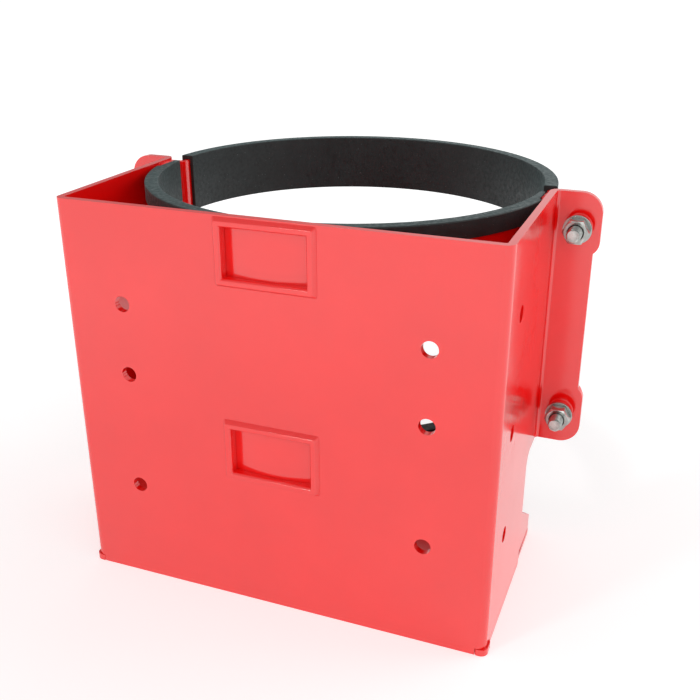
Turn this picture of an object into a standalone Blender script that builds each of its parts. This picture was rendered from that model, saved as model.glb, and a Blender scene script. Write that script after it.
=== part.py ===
"""Rubber-lined cradle bracket: a folded sheet body with two split pipe clamps.

Frame: +Z up, the origin at the centre of the base plate's underside.  The front
panel faces -Y, and the clamps grip a cylinder that stands upright behind it.
Lengths are metres.  Depths below are counted from the front panel's face, and
one empty carries all the pieces to their place in the frame.
"""
import math

import bmesh
import bpy
from mathutils import Vector

MM = 0.001

# Folded sheet body
WIDTH = 370 * MM                # over the two side plates
HEIGHT = 345 * MM
SHEET = 6 * MM
BEND_INNER = 1.5 * MM
FLANGE_FRONT = 171 * MM         # depth of the flange's front face behind the front panel
FLANGE_REACH = 223 * MM         # half width over the flange ears
FLANGE_WAIST = 218.3 * MM       # half width between the ears
FLANGE_BOTTOM = 116 * MM
EAR_CORNER = 18 * MM
EAR_ROUND = 12 * MM             # round where an ear runs into the waist
UPPER_EAR_FOOT = 303.5 * MM     # where the upper ear's straight edge ends
LOWER_EAR_FOOT = 160 * MM       # where the lower ear's straight edge ends
SIDE_REAR = 133 * MM            # depth of the side plates below the flanges
RELIEF_ROUND = 14 * MM
TONGUE_HALF = 176.4 * MM        # front panel's full-height tongue between the base lobes

# Cutters
CUT_MARGIN = 5 * MM             # how far a cutter runs past what it cuts
CUT_FAR = 20 * MM               # the same, where nothing is near

# Base plate
BASE_DEPTH = 186 * MM
LIP_HEIGHT = 23 * MM
BASE_HALF = 183.8 * MM          # half width of the plate behind the side plates
LIP_HALF = 183.6 * MM
GUSSET_HEIGHT = 55 * MM         # of the side gussets, where they start behind the side plates
LOBE = 1.5 * MM                 # how far the corner lobes stand out
LOBE_LENGTH = 13 * MM
LOBE_TAPER = 3 * MM
LOBE_RADIUS = 6 * MM
LOBE_CHAMFER = 1 * MM
LOBE_FRONT = -0.4 * MM          # depth of the lobes' front face, just proud of the panel

# Holes
PANEL_HOLE_X = 129.5 * MM
PANEL_HOLE_Z = (262 * MM, 199.5 * MM, 93 * MM)
SIDE_HOLE_Y = 46 * MM
SIDE_HOLE_Z = (281 * MM, 182 * MM, 89 * MM)
FIXING_RADIUS = 6.75 * MM

# Clamps
LEVELS = {"upper": 316.5 * MM, "lower": 147 * MM}
AXIS_Y = 180 * MM               # the gripped cylinder's axis
BORE = 170.4 * MM               # radius inside the rubber
LINER = 3.0 * MM
BAND_INNER = 173.7 * MM
BAND = 5 * MM
BAND_HEIGHT = 45 * MM
RUBBER_OUTER = 182.5 * MM
RUBBER_HEIGHT = 53 * MM
LIP_DOWN = 15 * MM              # how far the rubber's outer lips reach over the band
GAP = 0.3 * MM                  # between two pieces that touch
SPLIT_FRONT = 170 * MM          # depth of the front half's ends
SPLIT_REAR = 193 * MM           # depth of the rear half's ends
EAR_FRONT = 183 * MM
EAR_BEND = 4 * MM
REAR_EAR_REACH = 221 * MM
REAR_EAR_ROUND = 12 * MM
WELD_X = 175 * MM               # the rubber's end corners are clear of the welds beyond this
WELD_Y = 143 * MM
WELD_DROP = 5 * MM              # how far the welds' room reaches down into the rubber
SIDE_TRIM = 60 * MM             # depth from which the rubber is trimmed to the side plates
SWEEP_BACK = 80 * MM            # length cut off behind the front half's ends
SWEEP_MARGIN = 12               # degrees the rubber is swept past a half turn, then cut back

# Rectangular tube stubs
TUBE_WIDTH = 80 * MM
TUBE_HEIGHT = 50 * MM
TUBE_WALL = 5 * MM
TUBE_ROUND = 2 * MM
TUBE_INNER_ROUND = 0.5 * MM
TUBE_DEPTH = 8 * MM
SWELL_HALF = 50 * MM            # half width of the pocket in the panel behind each stub
COPE_HALF_ANGLE = 40
TUBE_PROUD = 4 * MM

# M12 hardware
BOLT_X = 205 * MM
BOLT_TIP = 138 * MM
SHANK_RADIUS = 6 * MM
TIP_CHAMFER = 1.3 * MM
HEX_FLATS = 19 * MM
HEAD_HEIGHT = 7.5 * MM
NUT_HEIGHT = 10 * MM
WASHER_RADIUS = 12 * MM
WASHER = 2.5 * MM
BOSS_RADIUS = 10 * MM
BOSS = 8.5 * MM                 # length of the boss between the flange and the front washer
CLEARANCE_RADIUS = 6.5 * MM

ARC_STEPS = 40                  # facets of a half ring
SIDES = (("left", -1), ("right", 1))


def clear_scene():
    for old in list(bpy.data.objects):
        bpy.data.objects.remove(old, do_unlink=True)


def make_material(name, color, roughness, metallic):
    material = bpy.data.materials.new(name)
    material.use_nodes = True
    shader = material.node_tree.nodes["Principled BSDF"]
    shader.inputs["Base Color"].default_value = (*color, 1)
    shader.inputs["Roughness"].default_value = roughness
    shader.inputs["Metallic"].default_value = metallic
    material.diffuse_color = (*color, 1)
    return material


def red_paint(name):
    return make_material(name + "_red_paint", (0.78, 0.035, 0.03), 0.3, 0.0)


def black_rubber(name):
    return make_material(name + "_rubber", (0.03, 0.033, 0.032), 0.75, 0.0)


def zinc_steel(name):
    return make_material(name + "_steel", (0.6, 0.61, 0.6), 0.3, 1.0)


def add_object(name, bm, material):
    """Turn a bmesh into a named, smooth-shaded object."""
    bmesh.ops.recalc_face_normals(bm, faces=bm.faces)
    mesh = bpy.data.meshes.new(name)
    bm.to_mesh(mesh)
    bm.free()
    mesh.materials.append(material)
    mesh.shade_smooth()
    mesh.set_sharp_from_angle(angle=math.radians(35))
    obj = bpy.data.objects.new(name, mesh)
    bpy.context.collection.objects.link(obj)
    return obj


def add_cutter(name, bm):
    bmesh.ops.recalc_face_normals(bm, faces=bm.faces)
    mesh = bpy.data.meshes.new(name)
    bm.to_mesh(mesh)
    bm.free()
    cutter = bpy.data.objects.new(name, mesh)
    bpy.context.collection.objects.link(cutter)
    cutter.hide_render = True
    cutter.display_type = "WIRE"
    return cutter


def cut(obj, cutter):
    boolean = obj.modifiers.new(cutter.name, "BOOLEAN")
    boolean.operation = "DIFFERENCE"
    boolean.object = cutter


def prism(outline, start, end, axis="Z"):
    """Extrude a closed outline along an axis.

    The outline's two numbers are (x, y) along Z, (x, z) along Y and (y, z) along X.
    """
    place = {
        "Z": lambda a, b, depth: (a, b, depth),
        "Y": lambda a, b, depth: (a, depth, b),
        "X": lambda a, b, depth: (depth, a, b),
    }[axis]
    bm = bmesh.new()
    near = [bm.verts.new(place(a, b, start)) for a, b in outline]
    far = [bm.verts.new(place(a, b, end)) for a, b in outline]
    bm.faces.new(near)
    bm.faces.new(far)
    count = len(outline)
    for i in range(count):
        j = (i + 1) % count
        bm.faces.new((near[i], near[j], far[j], far[i]))
    return bm


def box(low, high):
    outline = [(low[0], low[1]), (high[0], low[1]), (high[0], high[1]), (low[0], high[1])]
    return prism(outline, low[2], high[2])


def arc(center, radius, start, end, steps):
    """Points on an arc; the angles are in degrees."""
    points = []
    for i in range(steps + 1):
        angle = math.radians(start + (end - start) * i / steps)
        points.append((center[0] + radius * math.cos(angle), center[1] + radius * math.sin(angle)))
    return points


def mirrored(points):
    """The same points on the other side, in reverse order."""
    return [(-x, y) for x, y in reversed(points)]


def rounded_rectangle(half_width, low, high, radius, steps=5):
    corners = (
        ((half_width - radius, low + radius), -90),
        ((half_width - radius, high - radius), 0),
        ((radius - half_width, high - radius), 90),
        ((radius - half_width, low + radius), 180),
    )
    points = []
    for center, start in corners:
        points += arc(center, radius, start, start + 90, steps)
    return points


def rod(radius, start, end, x, z, steps=24):
    """A cylinder along Y."""
    outline = arc((x, z), radius, 0, 360, steps)[:-1]
    return prism(outline, start, end, "Y")


def cut_hole(obj, name, radius, start, end, x, z):
    cut(obj, add_cutter(name, rod(radius, start, end, x, z)))


# --- Folded sheet body -------------------------------------------------------------------

def body_plan():
    """The bent sheet seen from above, right half outside first."""
    half = WIDTH / 2
    inside = half - SHEET
    outer = BEND_INNER + SHEET
    rear = FLANGE_FRONT + SHEET
    skin = arc((half - outer, outer), outer, -90, 0, 6)
    skin += arc((half + BEND_INNER, FLANGE_FRONT - BEND_INNER), BEND_INNER, 180, 90, 4)
    skin += [(FLANGE_REACH, FLANGE_FRONT), (FLANGE_REACH, rear)]
    skin += arc((half + BEND_INNER, FLANGE_FRONT - BEND_INNER), outer, 90, 180, 6)
    skin += arc((inside - BEND_INNER, SHEET + BEND_INNER), BEND_INNER, 0, -90, 4)
    return skin


def full_plan():
    """Both halves as one closed outline, outside right round to outside left."""
    right = body_plan()
    split = right.index((FLANGE_REACH, FLANGE_FRONT)) + 1
    outside = right[:split]
    inside = right[split:]
    return outside + inside + mirrored(inside) + mirrored(outside)


def flange_trim(side):
    """What is cut away round a flange: everything past its outline in the XZ plane."""
    reach = FLANGE_REACH
    corner = EAR_CORNER
    round_x = reach - EAR_ROUND
    angle = math.degrees(math.acos((FLANGE_WAIST - round_x) / EAR_ROUND))
    outline = arc((reach - corner, HEIGHT - corner), corner, 90, 0, 6)
    outline += arc((round_x, UPPER_EAR_FOOT), EAR_ROUND, 0, -angle, 4)
    outline += arc((round_x, LOWER_EAR_FOOT), EAR_ROUND, angle, 0, 4)
    outline += arc((reach - corner, FLANGE_BOTTOM + corner), corner, 0, -90, 6)
    beyond = reach + CUT_FAR
    start_x = reach - corner
    outline += [(start_x, FLANGE_BOTTOM - CUT_FAR), (beyond, FLANGE_BOTTOM - CUT_FAR)]
    outline += [(beyond, HEIGHT + CUT_FAR), (start_x, HEIGHT + CUT_FAR)]
    outline = [(side * x, z) for x, z in outline]
    rear = FLANGE_FRONT + SHEET + CUT_MARGIN
    return prism(outline, FLANGE_FRONT - CUT_MARGIN, rear, "Y")


def side_relief(side):
    """The cut that sets the side plates' lower rear edge forward."""
    top = FLANGE_BOTTOM
    outline = [(SIDE_REAR, -CUT_FAR)]
    outline += arc((SIDE_REAR + RELIEF_ROUND, top - RELIEF_ROUND), RELIEF_ROUND, 180, 90, 6)
    rear = FLANGE_FRONT + SHEET + CUT_FAR
    outline += [(rear, top), (rear, -CUT_FAR)]
    near = side * (WIDTH / 2 - CUT_FAR)
    far = side * (FLANGE_REACH + CUT_FAR)
    return prism(outline, near, far, "X")


def base_clearance(side):
    """Room for the base plate under the side plates and round its front lobes."""
    near, far = sorted((side * TONGUE_HALF, side * (WIDTH / 2 + CUT_FAR)))
    return box((near, -CUT_MARGIN, -CUT_MARGIN), (far, BASE_DEPTH + CUT_FAR, SHEET + GAP))


def make_body():
    body = add_object("folded_body", prism(full_plan(), 0, HEIGHT), red_paint("body"))
    for side_name, side in SIDES:
        cut(body, add_cutter("cut_flange_" + side_name, flange_trim(side)))
        cut(body, add_cutter("cut_relief_" + side_name, side_relief(side)))
        cut(body, add_cutter("cut_base_" + side_name, base_clearance(side)))
        for row, z in enumerate(PANEL_HOLE_Z):
            name = "cut_panel_hole_%s_%d" % (side_name, row)
            end = SHEET + CUT_MARGIN
            cut_hole(body, name, FIXING_RADIUS, -CUT_MARGIN, end, side * PANEL_HOLE_X, z)
        for row, z in enumerate(SIDE_HOLE_Z):
            outline = arc((SIDE_HOLE_Y, z), FIXING_RADIUS, 0, 360, 24)[:-1]
            near = side * (WIDTH / 2 - CUT_FAR)
            far = side * (WIDTH / 2 + CUT_FAR)
            cutter = prism(outline, near, far, "X")
            cut(body, add_cutter("cut_side_hole_%s_%d" % (side_name, row), cutter))
        for level_name, z in LEVELS.items():
            name = "cut_flange_hole_%s_%s" % (side_name, level_name)
            start = FLANGE_FRONT - CUT_MARGIN
            end = FLANGE_FRONT + SHEET + CUT_MARGIN
            cut_hole(body, name, FIXING_RADIUS, start, end, side * BOLT_X, z)
    for level_name, z in LEVELS.items():
        half = TUBE_WIDTH / 2 + GAP
        half_height = TUBE_HEIGHT / 2 + GAP
        outline = rounded_rectangle(half, z - half_height, z + half_height, TUBE_ROUND + GAP)
        window = prism(outline, -CUT_MARGIN, SHEET + CUT_MARGIN, "Y")
        cut(body, add_cutter("cut_window_" + level_name, window))
        swell = half_ring_plan(BAND_INNER, BAND_INNER + BAND + GAP, window_angle(), 24)
        swell_half = BAND_HEIGHT / 2 + GAP
        cutter = prism(swell, z - swell_half, z + swell_half)
        cut(body, add_cutter("cut_band_swell_" + level_name, cutter))


# --- Base plate --------------------------------------------------------------------------

def base_outline():
    """Right half of the plate's outline, with a lobe at the front corner."""
    half = WIDTH / 2
    lobe_x = half + LOBE
    root = TONGUE_HALF + GAP
    radius = LOBE_RADIUS
    front = LOBE_FRONT
    points = [(root, SHEET + GAP), (root, front + LOBE_CHAMFER), (root + LOBE_CHAMFER, front)]
    points += arc((lobe_x - radius, front + radius), radius, -90, 0, 5)
    points += [(lobe_x, LOBE_LENGTH), (half, LOBE_LENGTH + LOBE_TAPER)]
    points += [(half, SIDE_REAR), (BASE_HALF, SIDE_REAR), (BASE_HALF, BASE_DEPTH)]
    return points


def make_base():
    right = base_outline()
    flat = prism(right + mirrored(right), 0, SHEET)
    base = add_object("base_plate", flat, red_paint("base"))
    low = SHEET / 2
    lip_end = LIP_HALF - SHEET / 2
    pieces = {"rear_lip": box((-lip_end, BASE_DEPTH - SHEET, low), (lip_end, BASE_DEPTH, LIP_HEIGHT))}
    gusset = [
        (SIDE_REAR + GAP, low),
        (BASE_DEPTH - GAP, low),
        (BASE_DEPTH - GAP, LIP_HEIGHT - GAP),
        (SIDE_REAR + GAP, GUSSET_HEIGHT),
    ]
    for side_name, side in SIDES:
        near, far = sorted((side * (LIP_HALF - SHEET), side * LIP_HALF))
        pieces["gusset_" + side_name] = prism(gusset, near, far, "X")
    for name, shape in pieces.items():
        union = base.modifiers.new(name, "BOOLEAN")
        union.operation = "UNION"
        union.object = add_cutter("add_" + name, shape)


# --- Clamps ------------------------------------------------------------------------------

def window_angle():
    """Half angle of the front band's stretch that swells into the tube stub."""
    return math.degrees(math.asin(SWELL_HALF / BAND_INNER))


def half_ring_plan(inner, outer, half_angle, steps):
    """A ring segment round the clamp axis, centred on -Y."""
    center = (0, AXIS_Y)
    outside = arc(center, outer, -90 - half_angle, -90 + half_angle, steps)
    return outside + arc(center, inner, -90 + half_angle, -90 - half_angle, steps)


def end_angle(radius, depth):
    """Angle past the X axis at which a circle of this radius reaches the depth."""
    return math.degrees(math.asin((depth - AXIS_Y) / radius))


def make_front_band(level_name, z):
    low = z - BAND_HEIGHT / 2
    outer = BAND_INNER + BAND
    center = (0, AXIS_Y)
    outside_end = end_angle(outer, SPLIT_FRONT)
    inside_end = end_angle(BAND_INNER, SPLIT_FRONT)
    plan = arc(center, outer, -180 - outside_end, outside_end, ARC_STEPS)
    plan += arc(center, BAND_INNER, inside_end, -180 - inside_end, ARC_STEPS)
    name = "front_band_" + level_name
    add_object(name, prism(plan, low, low + BAND_HEIGHT), red_paint(name))


def rear_band_plan():
    """The rear band with its two outward ears, right half first."""
    outer = BAND_INNER + BAND
    center = (0, AXIS_Y)
    bend_outer = EAR_BEND + BAND
    bend_y = EAR_FRONT + bend_outer
    start = end_angle(BAND_INNER, bend_y)
    inner_x = BAND_INNER * math.cos(math.radians(start))
    bend_x = inner_x + bend_outer
    stop = end_angle(outer, bend_y)
    inside = arc(center, BAND_INNER, 90, start, ARC_STEPS // 2)
    inside += arc((bend_x, bend_y), bend_outer, 180, 270, 6)[1:]
    inside += [(REAR_EAR_REACH, EAR_FRONT)]
    outside = [(REAR_EAR_REACH, EAR_FRONT + BAND)]
    outside += arc((bend_x, bend_y), EAR_BEND, 270, 180, 6)[:-1]
    outside += arc(center, outer, stop, 90, ARC_STEPS // 2)
    return inside + outside[:-1] + mirrored(outside) + mirrored(inside)[:-1]


def ear_corner_trim(side, z):
    """Rounds the two outer corners of one rear ear."""
    low = z - BAND_HEIGHT / 2
    high = z + BAND_HEIGHT / 2
    radius = REAR_EAR_ROUND
    reach = REAR_EAR_REACH
    outline = arc((reach - radius, high - radius), radius, 90, 0, 5)
    outline += arc((reach - radius, low + radius), radius, 0, -90, 5)
    beyond = reach + CUT_MARGIN
    outline += [(reach - radius, low - CUT_MARGIN), (beyond, low - CUT_MARGIN)]
    outline += [(beyond, high + CUT_MARGIN), (reach - radius, high + CUT_MARGIN)]
    outline = [(side * x, height) for x, height in outline]
    return prism(outline, EAR_FRONT - CUT_MARGIN, EAR_FRONT + BAND + CUT_MARGIN, "Y")


def make_rear_band(level_name, z):
    half = BAND_HEIGHT / 2
    name = "rear_band_" + level_name
    band = add_object(name, prism(rear_band_plan(), z - half, z + half), red_paint(name))
    for side_name, side in SIDES:
        tag = "%s_%s" % (name, side_name)
        cut(band, add_cutter("cut_corners_" + tag, ear_corner_trim(side, z)))
        start = EAR_FRONT - CUT_MARGIN
        end = EAR_FRONT + BAND + CUT_MARGIN
        cut_hole(band, "cut_hole_" + tag, FIXING_RADIUS, start, end, side * BOLT_X, z)


def rubber_section():
    """The channel rubber's section as (radius, height) points, closed, round the band."""
    half = RUBBER_HEIGHT / 2
    pocket = BAND_HEIGHT / 2 + GAP
    liner = BORE + LINER
    lip_inner = BAND_INNER + BAND + GAP
    upper = [
        (BORE, half),
        (RUBBER_OUTER, half),
        (RUBBER_OUTER, half - LIP_DOWN),
        (lip_inner, half - LIP_DOWN),
        (lip_inner, pocket),
        (liner, pocket),
    ]
    return upper + [(radius, -height) for radius, height in reversed(upper)]


def rubber_sweep(z, start, end):
    """Sweep the channel section round the clamp axis between two angles."""
    section = rubber_section()
    bm = bmesh.new()
    rings = []
    for i in range(ARC_STEPS + 1):
        angle = math.radians(start + (end - start) * i / ARC_STEPS)
        ring = []
        for radius, height in section:
            x = radius * math.cos(angle)
            y = AXIS_Y + radius * math.sin(angle)
            ring.append(bm.verts.new((x, y, z + height)))
        rings.append(ring)
    count = len(section)
    for ring, following in zip(rings, rings[1:]):
        for i in range(count):
            j = (i + 1) % count
            bm.faces.new((ring[i], ring[j], following[j], following[i]))
    bm.faces.new(rings[0])
    bm.faces.new(rings[-1])
    return bm


def make_front_rubber(level_name, z):
    """Trimmed flush with the front panel and the side plates, and back from the end welds."""
    name = "front_rubber_" + level_name
    rubber = add_object(name, rubber_sweep(z, -180 - SWEEP_MARGIN, SWEEP_MARGIN), black_rubber(name))
    reach = RUBBER_OUTER + CUT_FAR
    low = z - RUBBER_HEIGHT
    high = z + RUBBER_HEIGHT
    back = SPLIT_FRONT + SWEEP_BACK
    cutters = {
        "panel": box((-reach, -CUT_FAR, low), (reach, SHEET + GAP, high)),
        "split": box((-reach, SPLIT_FRONT, low), (reach, back, high)),
    }
    wall = WIDTH / 2 - SHEET - GAP
    weld_top = z + RUBBER_HEIGHT / 2 - WELD_DROP
    weld_bottom = z - RUBBER_HEIGHT / 2 + WELD_DROP
    for side_name, side in SIDES:
        near, far = sorted((side * wall, side * reach))
        side_box = box((near, SIDE_TRIM, low), (far, back + 2 * CUT_MARGIN, high))
        cutters["side_" + side_name] = side_box
        near, far = sorted((side * WELD_X, side * reach))
        for part, start, stop in (("top", weld_top, high), ("bottom", low, weld_bottom)):
            weld_box = box((near, WELD_Y, start), (far, back + CUT_MARGIN, stop))
            cutters["weld_%s_%s" % (part, side_name)] = weld_box
    for part, cutter in cutters.items():
        cut(rubber, add_cutter("cut_%s_%s" % (name, part), cutter))


def make_rear_rubber(level_name, z):
    name = "rear_rubber_" + level_name
    rubber = add_object(name, rubber_sweep(z, 0, 180), black_rubber(name))
    reach = RUBBER_OUTER + CUT_FAR
    low = (-reach, AXIS_Y - CUT_FAR, z - RUBBER_HEIGHT)
    high = (reach, SPLIT_REAR, z + RUBBER_HEIGHT)
    cut(rubber, add_cutter("cut_%s_split" % name, box(low, high)))


# --- Rectangular tube stubs --------------------------------------------------------------

def make_tube(level_name, z):
    """A short tube through the front panel, coped to the front band."""
    name = "tube_stub_" + level_name
    half = TUBE_HEIGHT / 2
    outer = rounded_rectangle(TUBE_WIDTH / 2, z - half, z + half, TUBE_ROUND)
    tube = add_object(name, prism(outer, -TUBE_PROUD, TUBE_DEPTH, "Y"), red_paint(name))
    half -= TUBE_WALL
    inner = rounded_rectangle(TUBE_WIDTH / 2 - TUBE_WALL, z - half, z + half, TUBE_INNER_ROUND, 2)
    cut(tube, add_cutter("cut_%s_inside" % name, prism(inner, -CUT_FAR, CUT_FAR, "Y")))
    cope = half_ring_plan(BORE / 2, BAND_INNER + BAND + GAP, COPE_HALF_ANGLE, 48)
    cut(tube, add_cutter("cut_%s_cope" % name, prism(cope, z - TUBE_HEIGHT, z + TUBE_HEIGHT)))


# --- Hardware ----------------------------------------------------------------------------

def hexagon(x, z):
    corner = HEX_FLATS / 2 / math.cos(math.radians(30))
    return arc((x, z), corner, 0, 360, 6)[:-1]


def skin_rings(rings, closed):
    """Join equal loops of (x, y, z) points into one skin, closed on itself or capped."""
    bm = bmesh.new()
    loops = [[bm.verts.new(point) for point in ring] for ring in rings]
    pairs = list(zip(loops, loops[1:]))
    if closed:
        pairs.append((loops[-1], loops[0]))
    else:
        bm.faces.new(loops[0])
        bm.faces.new(loops[-1])
    for near, far in pairs:
        count = len(near)
        for i in range(count):
            j = (i + 1) % count
            bm.faces.new((near[i], near[j], far[j], far[i]))
    return bm


def at_depth(outline, depth):
    return [(a, depth, b) for a, b in outline]


def collar(outer, inner, start, end):
    """A tube along Y between an outer and an inner loop with as many points each."""
    rings = [at_depth(outer, start), at_depth(outer, end), at_depth(inner, end), at_depth(inner, start)]
    return skin_rings(rings, closed=True)


def circle_loop(radius):
    return arc((0, 0), radius, 0, 360, 24)[:-1]


def hex_loop(count_per_side):
    """A hexagon about the origin with extra points along each side."""
    corners = hexagon(0, 0)
    points = []
    for i in range(6):
        start = Vector(corners[i])
        end = Vector(corners[(i + 1) % 6])
        for step in range(count_per_side):
            point = start.lerp(end, step / count_per_side)
            points.append((point.x, point.y))
    return points


def make_nut(name, x, z, start):
    """The nut's origin is on the bolt axis."""
    outer = hex_loop(4)
    inner = circle_loop(SHANK_RADIUS + GAP)
    nut = add_object(name, collar(outer, inner, start, start + NUT_HEIGHT), zinc_steel(name))
    nut.location = (x, 0, z)


def make_washer(name, x, z, start):
    outer = circle_loop(WASHER_RADIUS)
    inner = circle_loop(CLEARANCE_RADIUS)
    washer = add_object(name, collar(outer, inner, start, start + WASHER), zinc_steel(name))
    washer.location = (x, 0, z)


def make_boss(name, x, z):
    """Turned boss on the flange's front face, round the bolt hole."""
    outer = circle_loop(BOSS_RADIUS)
    inner = circle_loop(CLEARANCE_RADIUS)
    end = FLANGE_FRONT - GAP
    boss = add_object(name, collar(outer, inner, end - BOSS, end), red_paint(name))
    boss.location = (x, 0, z)


def make_bolt(name, x, z):
    """Hex head behind the rear ear, plain shank forward through the nut, chamfered tip."""
    head_start = EAR_FRONT + BAND + GAP + WASHER + GAP
    head_end = head_start + HEAD_HEIGHT
    shank = circle_loop(SHANK_RADIUS)
    head = hex_loop(4)
    rings = [
        at_depth(circle_loop(SHANK_RADIUS - TIP_CHAMFER), BOLT_TIP),
        at_depth(shank, BOLT_TIP + TIP_CHAMFER),
        at_depth(shank, head_start),
        at_depth(head, head_start),
        at_depth(head, head_end),
    ]
    bm = skin_rings(rings, closed=False)
    bolt = add_object(name, bm, zinc_steel(name))
    bolt.location = (x, 0, z)


def make_hardware():
    front_washer = FLANGE_FRONT - GAP - BOSS - GAP - WASHER
    nut = front_washer - GAP - NUT_HEIGHT
    rear_washer = EAR_FRONT + BAND + GAP
    for level_name, z in LEVELS.items():
        for side_name, side in SIDES:
            tag = "%s_%s" % (level_name, side_name)
            x = side * BOLT_X
            make_bolt("bolt_" + tag, x, z)
            make_boss("boss_" + tag, x, z)
            make_nut("nut_" + tag, x, z, nut)
            make_washer("front_washer_" + tag, x, z, front_washer)
            make_washer("rear_washer_" + tag, x, z, rear_washer)


def place_in_frame():
    """Hang every piece and cutter on one empty that moves the base's centre to the origin."""
    pieces = list(bpy.data.objects)
    assembly = bpy.data.objects.new("assembly", None)
    bpy.context.collection.objects.link(assembly)
    assembly.location = (0, -BASE_DEPTH / 2, 0)
    for piece in pieces:
        piece.parent = assembly


def main():
    clear_scene()
    make_body()
    make_base()
    for level_name, z in LEVELS.items():
        make_tube(level_name, z)
        make_front_band(level_name, z)
        make_rear_band(level_name, z)
        make_front_rubber(level_name, z)
        make_rear_rubber(level_name, z)
    make_hardware()
    place_in_frame()


main()
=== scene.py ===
"""Looks for the split clamp cradle bracket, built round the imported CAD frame.

Every shown piece is rebuilt here with rounded edges, bends, welds and threads,
in the CAD pieces' own places, and takes a procedural material.
"""
import math
import random

import bmesh
import bpy
from mathutils import Matrix, Vector


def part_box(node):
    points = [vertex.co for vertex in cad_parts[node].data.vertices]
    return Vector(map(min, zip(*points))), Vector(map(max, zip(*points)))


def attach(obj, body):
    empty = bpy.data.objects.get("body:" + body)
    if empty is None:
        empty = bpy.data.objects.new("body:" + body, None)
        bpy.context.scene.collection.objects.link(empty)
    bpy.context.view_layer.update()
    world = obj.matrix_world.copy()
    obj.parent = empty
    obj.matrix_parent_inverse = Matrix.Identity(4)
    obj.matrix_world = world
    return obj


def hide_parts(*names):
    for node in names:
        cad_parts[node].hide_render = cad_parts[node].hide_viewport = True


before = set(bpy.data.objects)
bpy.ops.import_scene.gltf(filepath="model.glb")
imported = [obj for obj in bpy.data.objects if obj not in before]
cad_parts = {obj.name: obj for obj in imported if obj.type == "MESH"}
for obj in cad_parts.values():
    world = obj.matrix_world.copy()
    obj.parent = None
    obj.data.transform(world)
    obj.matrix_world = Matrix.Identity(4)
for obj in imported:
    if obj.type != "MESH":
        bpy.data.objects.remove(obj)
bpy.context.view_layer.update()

MM = 0.001

# Places read from the frame
BODY_LOW, BODY_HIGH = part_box("folded_body")
BASE_LOW, BASE_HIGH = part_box("base_plate")
TUBE_LOW, TUBE_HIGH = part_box("tube_stub_upper")
REAR_RUBBER_LOW, REAR_RUBBER_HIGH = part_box("rear_rubber_upper")
REAR_BAND_LOW, REAR_BAND_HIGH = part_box("rear_band_upper")
FRONT_BAND_LOW, FRONT_BAND_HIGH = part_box("front_band_upper")
_, FRONT_RUBBER_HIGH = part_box("front_rubber_upper")
WASHER_LOW, WASHER_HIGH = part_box("front_washer_upper_right")
PANEL_FACE = BODY_LOW[1]
FLANGE_REAR = BODY_HIGH[1]
FLANGE_REACH = BODY_HIGH[0]
HEIGHT = BODY_HIGH[2]
BASE_REAR = BASE_HIGH[1]
LIP_HEIGHT = 23 * MM
GUSSET_HEIGHT = BASE_HIGH[2]
HALF_WIDTH = TUBE_HIGH[0] + 145 * MM
LEVELS = {}
for level_name in ("upper", "lower"):
    rubber_low, rubber_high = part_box("rear_rubber_" + level_name)
    LEVELS[level_name] = (rubber_low[2] + rubber_high[2]) / 2
BOLT_X = (WASHER_LOW[0] + WASHER_HIGH[0]) / 2
RUBBER_OUTER = REAR_RUBBER_HIGH[0]
RUBBER_HEIGHT = REAR_RUBBER_HIGH[2] - REAR_RUBBER_LOW[2]
BAND_HEIGHT = FRONT_BAND_HIGH[2] - FRONT_BAND_LOW[2]
AXIS_Y = REAR_RUBBER_HIGH[1] - RUBBER_OUTER
SPLIT_REAR = REAR_RUBBER_LOW[1]
SPLIT_FRONT = FRONT_RUBBER_HIGH[1]
EAR_FRONT = REAR_BAND_LOW[1]
EAR_REACH = REAR_BAND_HIGH[0]
TUBE_FRONT = TUBE_LOW[1]

# Sections the frame's boxes don't state
SHEET = 6 * MM
BEND_INNER = 1.5 * MM
FLANGE_BEND = 3 * MM
BAND_INNER = 173.7 * MM
BAND = 5 * MM
BORE = 170.4 * MM
LINER = 3 * MM
GAP = 0.3 * MM
LIP_DOWN = 15 * MM
TUBE_WALL = 5 * MM
TUBE_HALF = TUBE_HIGH[0]
TUBE_HALF_HEIGHT = (TUBE_HIGH[2] - TUBE_LOW[2]) / 2
SIDES = (("left", -1), ("right", 1))

# Cutters reach this far past the faces that they cut through
PAST = 10 * MM

# Widths of the rounded edges
SHEET_EDGE = 0.7 * MM
BAND_EDGE = 0.6 * MM
REAR_RUBBER_EDGE = 0.5 * MM
FRONT_RUBBER_EDGE = 0.4 * MM
STUB_EDGE = 0.05 * MM
STUB_FRAME_EDGE = 0.5 * MM
BOSS_EDGE = 0.4 * MM
WASHER_EDGE = 0.35 * MM
HEX_EDGE = 0.25 * MM


# --- Mesh helpers ------------------------------------------------------------------------

def new_object(name, bm):
    bmesh.ops.recalc_face_normals(bm, faces=bm.faces)
    mesh = bpy.data.meshes.new(name)
    bm.to_mesh(mesh)
    bm.free()
    obj = bpy.data.objects.new(name, mesh)
    bpy.context.scene.collection.objects.link(obj)
    return obj


def arc(center, radius, start, end, steps):
    """Points on an arc; the angles are in degrees."""
    points = []
    for i in range(steps + 1):
        angle = math.radians(start + (end - start) * i / steps)
        across = radius * math.cos(angle)
        along = radius * math.sin(angle)
        points.append((center[0] + across, center[1] + along))
    return points


def mirrored(points):
    return [(-x, y) for x, y in reversed(points)]


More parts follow.
